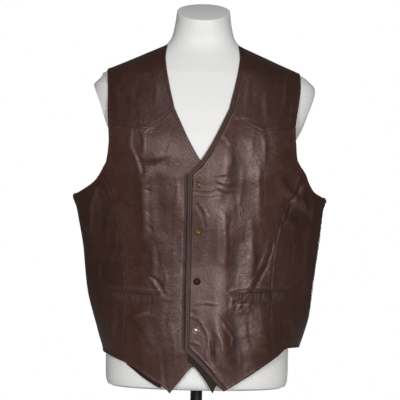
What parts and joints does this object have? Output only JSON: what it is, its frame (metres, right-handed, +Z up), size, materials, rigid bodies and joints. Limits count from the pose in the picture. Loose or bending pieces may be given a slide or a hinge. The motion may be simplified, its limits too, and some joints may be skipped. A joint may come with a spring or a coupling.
{
  "type": "leather vest on a dress form",
  "caption": "Brown leather western vest with pointed yokes, welt pockets, snap front and two hem points, worn by a limbless dress form on a pole stand.",
  "frame": {"origin": "centre of the underside of the stand's round foot, on the floor", "axes": "+Z up along the pole; the vest faces -Y; +X is the wearer's left"},
  "size_m": [0.5348, 0.29, 0.9693],
  "materials": {
    "brown_leather": "worn smooth, half gloss, fine grain",
    "dark_satin": "smooth satin lining",
    "aged_brass": "aged",
    "gold_brass": "polished by wear",
    "worn_brass": "dark, worn",
    "bright_nickel": "bright, scratched",
    "white_form": "matt",
    "black_steel": "half gloss paint"
  },
  "bodies": {
    "root": {"front_left": "brown_leather", "front_right": "brown_leather", "yoke_left": "brown_leather", "yoke_right": "brown_leather", "side_left": "brown_leather", "side_right": "brown_leather", "back": "brown_leather", "edge_band": "brown_leather", "welt_left": "brown_leather", "welt_right": "brown_leather", "lining_left": "dark_satin", "lining_right": "dark_satin", "snap_1": "aged_brass", "snap_2": "gold_brass", "snap_3": "worn_brass", "snap_4": "bright_nickel", "form_torso": "white_form", "stand_pole": "black_steel", "stand_base": "black_steel"}
  },
  "joints": []
}
